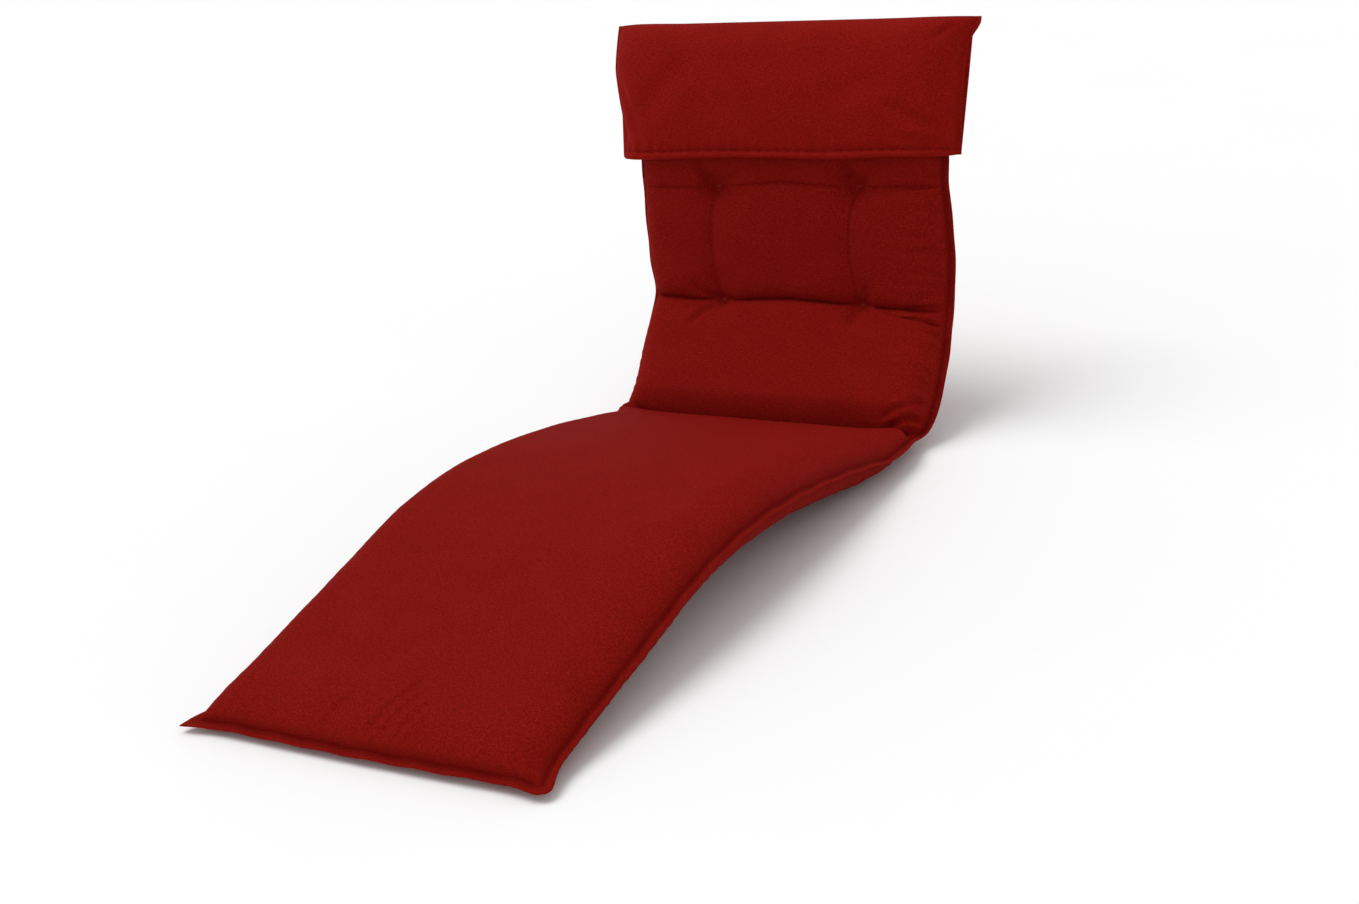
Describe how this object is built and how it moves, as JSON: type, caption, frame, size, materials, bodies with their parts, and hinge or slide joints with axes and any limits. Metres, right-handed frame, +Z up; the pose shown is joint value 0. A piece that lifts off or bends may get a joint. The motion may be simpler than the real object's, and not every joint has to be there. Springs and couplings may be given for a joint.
{
  "type": "relax chair cushion",
  "caption": "Long filled pad bent into leg rest, seat and tufted back, with a flanged edge and a cloth hood that slips over the head of a reclining chair.",
  "frame": {"origin": "on the floor, in the middle between the outermost points", "axes": "+Z up; -Y towards the leg end and +Y towards the head; +X to the right seen from the leg end"},
  "size_m": [0.5868, 1.2246, 0.5644],
  "materials": {
    "pad_cloth": "matte woven outdoor cloth, deep red with a fine darker mottle",
    "hood_cloth": "the same matte woven outdoor cloth, in a thin double layer",
    "thread": "pale red tufting thread, slightly shiny"
  },
  "bodies": {
    "root": {"pad": "pad_cloth", "hood": "hood_cloth", "tack_front_1": "thread", "tack_front_2": "thread", "tack_front_3": "thread", "tack_front_4": "thread", "tack_back_1": "thread", "tack_back_2": "thread", "tack_back_3": "thread", "tack_back_4": "thread"}
  },
  "joints": []
}
